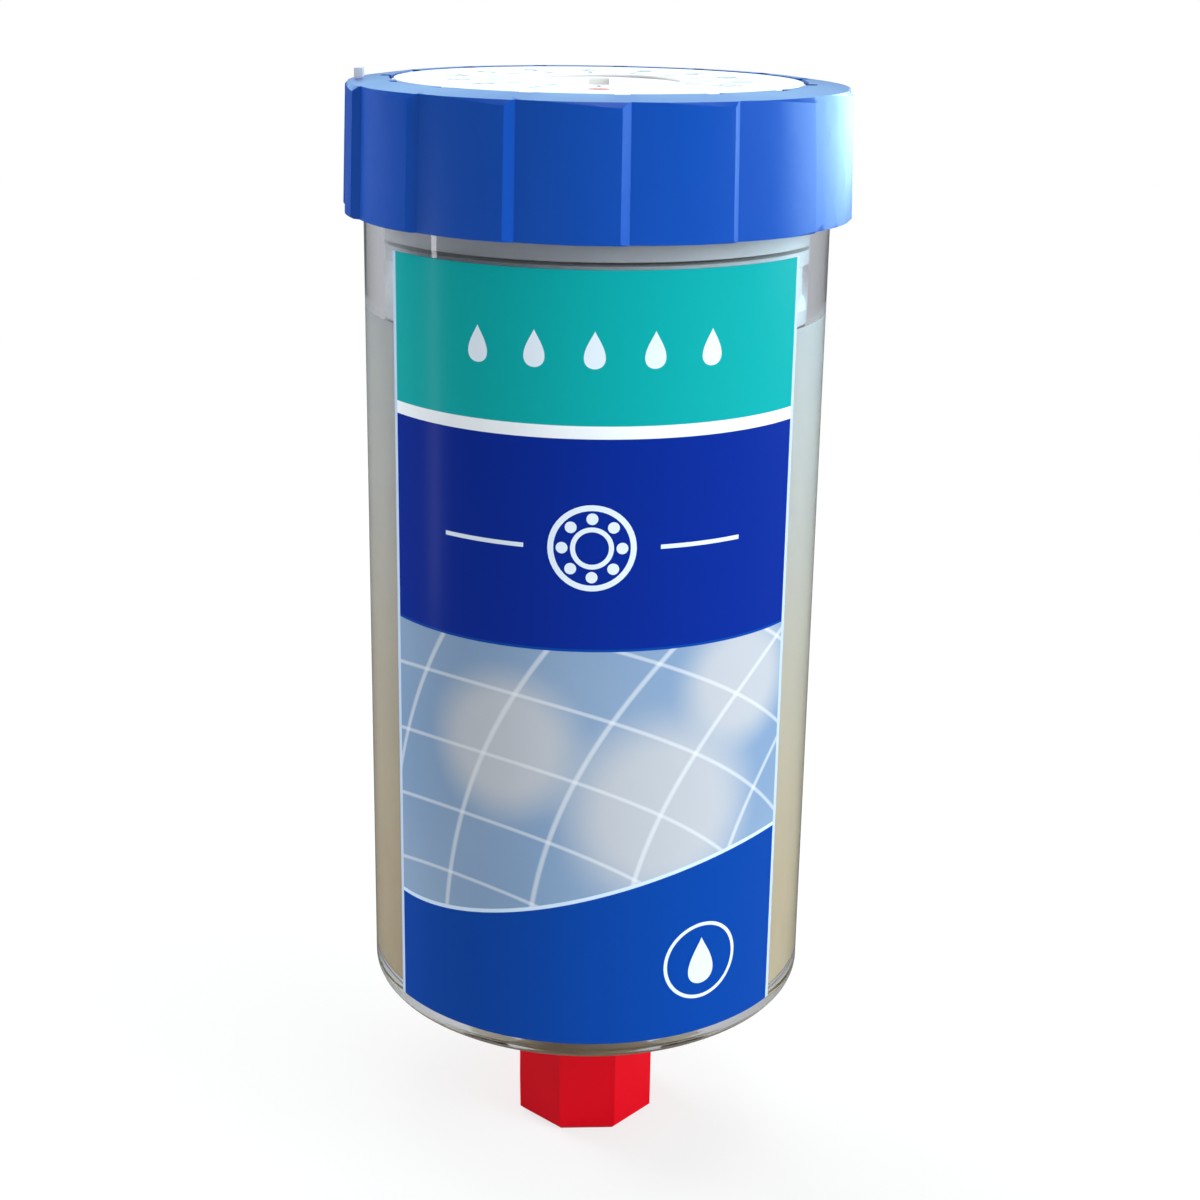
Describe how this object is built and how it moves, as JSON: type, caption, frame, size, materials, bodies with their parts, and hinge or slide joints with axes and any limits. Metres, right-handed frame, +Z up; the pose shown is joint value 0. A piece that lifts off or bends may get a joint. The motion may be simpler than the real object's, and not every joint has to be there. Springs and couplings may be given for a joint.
{
  "type": "automatic lubricator",
  "caption": "Gas-driven single-point automatic lubricator: clear grease barrel with a printed front, saw-tooth grip ring, month dial and a screw cap over its threaded outlet.",
  "frame": {"origin": "centre of the threaded outlet's tip, on the axis", "axes": "+Z up the axis from the outlet to the head; -Y is the front, with the label; +X is to the right of the front"},
  "size_m": [0.0545, 0.0545, 0.123],
  "materials": {
    "clear_plastic": "clear, smooth moulded",
    "label_film": "printed gloss film",
    "blue_plastic": "semi-gloss moulded",
    "red_plastic": "semi-gloss moulded",
    "white_plastic": "smooth moulded",
    "white_film": "printed film",
    "grey_plastic": "moulded",
    "grease": "soft, slightly translucent",
    "rubber": "smooth",
    "steel": "bright nickel-plated",
    "spring_bronze": "bright",
    "sintered_bronze": "porous",
    "board": "green solder mask",
    "chip": "matt"
  },
  "bodies": {
    "barrel": {"container": "clear_plastic", "front_label": "label_film", "grease_charge": "grease", "grip_ring": "blue_plastic", "drive_housing": "grey_plastic", "housing_o_ring": "rubber", "port_filter": "sintered_bronze", "gas_cell_gasket": "rubber", "gas_cell": "steel", "battery_left": "steel", "battery_right": "steel", "battery_link": "spring_bronze", "cell_tray": "grey_plastic", "contact_left": "spring_bronze", "contact_right": "spring_bronze", "gas_cell_contact": "spring_bronze", "circuit_board": "board", "resistors": "chip", "top_cover": "white_plastic", "cover_screws": "steel", "scale_disc": "white_film"},
    "piston": {"piston": "white_plastic"},
    "dial": {"time_dial": "white_plastic", "dial_o_ring": "rubber", "dial_clip": "steel", "wiper": "spring_bronze"},
    "cap_carrier": {"cap_seal": "rubber"},
    "cap": {"outlet_cap": "red_plastic"}
  },
  "joints": [
    {"name": "piston_travel", "type": "slide", "parent": "barrel", "child": "piston", "axis": [0, 0, -1], "range_m": [0, 0.0752], "deforming": ["grease_charge"]},
    {"name": "month_dial", "type": "hinge", "parent": "barrel", "child": "dial", "pos_m": [0, 0, 0.1186], "axis": [0, 0, -1], "range_deg": [0, 300]},
    {"name": "cap_travel", "type": "slide", "parent": "barrel", "child": "cap_carrier", "axis": [0, 0, -1], "range_m": [0, 0.01069]},
    {"name": "cap_turn", "type": "hinge", "parent": "cap_carrier", "child": "cap", "pos_m": [0, 0, 0.005], "axis": [0, 0, -1], "range_deg": [0, 2880]}
  ],
  "couplings": [
    {"joint": "cap_turn", "follows": "cap_travel", "rad_per_m": 4700}
  ]
}
